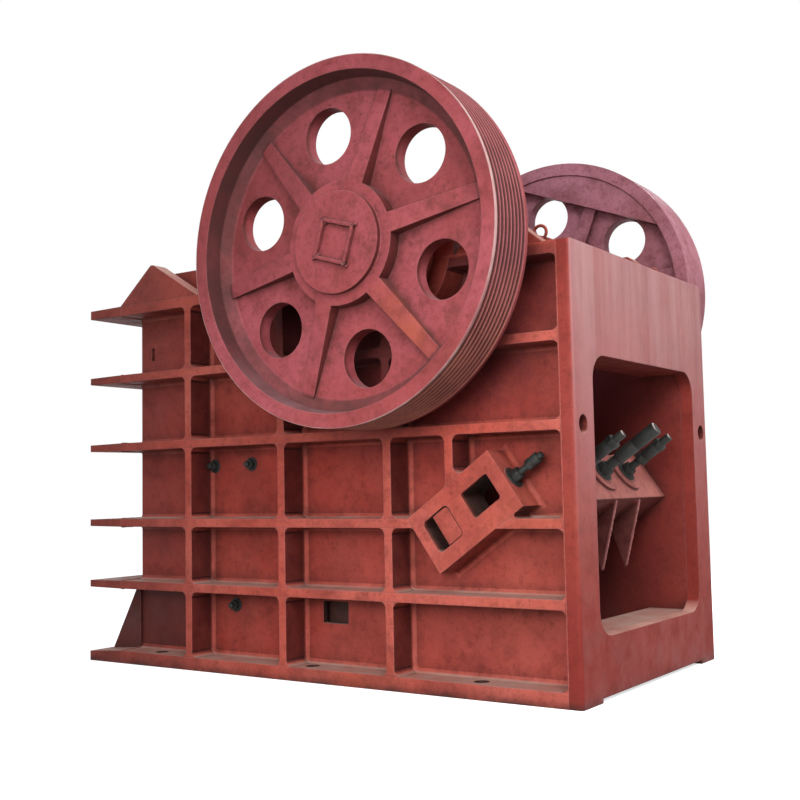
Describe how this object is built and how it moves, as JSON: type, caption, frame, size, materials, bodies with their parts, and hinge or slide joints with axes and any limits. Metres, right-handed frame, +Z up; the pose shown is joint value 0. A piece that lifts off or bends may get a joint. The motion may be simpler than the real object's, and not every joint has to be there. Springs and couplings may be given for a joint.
{
  "type": "jaw crusher",
  "caption": "Fixed single-toggle jaw crusher: ribbed welded frame, feed chamber, open rear with toggle beam, grooved drive pulley and counterweighted flywheel on one shaft.",
  "frame": {"origin": "centre of the bounding box at the underside of the feet", "axes": "+X from the feed end towards the rear wall, +Y towards the plain flywheel, +Z up"},
  "size_m": [2.889, 2.276, 2.669],
  "materials": {
    "red_primer": "matte",
    "dark_steel": "oiled",
    "bare_steel": "machined",
    "cast_manganese": "cast"
  },
  "bodies": {
    "frame": {"adjusting_blocks": "red_primer", "adjusting_seat": "dark_steel", "backing_webs": "red_primer", "bearing_base_far": "red_primer", "bearing_base_near": "red_primer", "bearing_cap_far": "red_primer", "bearing_cap_near": "red_primer", "bearing_saddle_far": "red_primer", "bearing_saddle_near": "red_primer", "cheek_plates_far": "cast_manganese", "cheek_plates_near": "cast_manganese", "fixed_jaw_backing": "red_primer", "fixed_jaw_plate": "cast_manganese", "front_gussets": "red_primer", "front_lug_far": "red_primer", "front_lug_near": "red_primer", "front_ribs": "red_primer", "front_wall": "red_primer", "jaw_toggle_seat": "dark_steel", "lifting_eyes": "red_primer", "rear_lug_far": "red_primer", "rear_lug_near": "red_primer", "rear_stiffeners": "red_primer", "rear_wall": "red_primer", "side_ribs_far": "red_primer", "side_ribs_near": "red_primer", "side_studs": "dark_steel", "side_wall_far": "red_primer", "side_wall_near": "red_primer", "swing_jaw": "red_primer", "swing_jaw_plate": "cast_manganese", "tension_studs": "dark_steel", "toggle_beam": "red_primer", "toggle_box_far": "red_primer", "toggle_box_near": "red_primer", "toggle_plate": "dark_steel", "toggle_seat": "dark_steel", "upright_ribs_far": "red_primer", "upright_ribs_near": "red_primer"},
    "rotor": {"eccentric_shaft": "bare_steel", "drive_pulley": "red_primer", "flywheel": "red_primer", "end_cap_near": "red_primer", "end_cap_far": "red_primer", "cap_frame": "red_primer"}
  },
  "joints": [
    {"name": "shaft_spin", "type": "hinge", "parent": "frame", "child": "rotor", "pos_m": [0.5025, 0, 1.893], "axis": [0, 1, 0], "continuous": true}
  ]
}
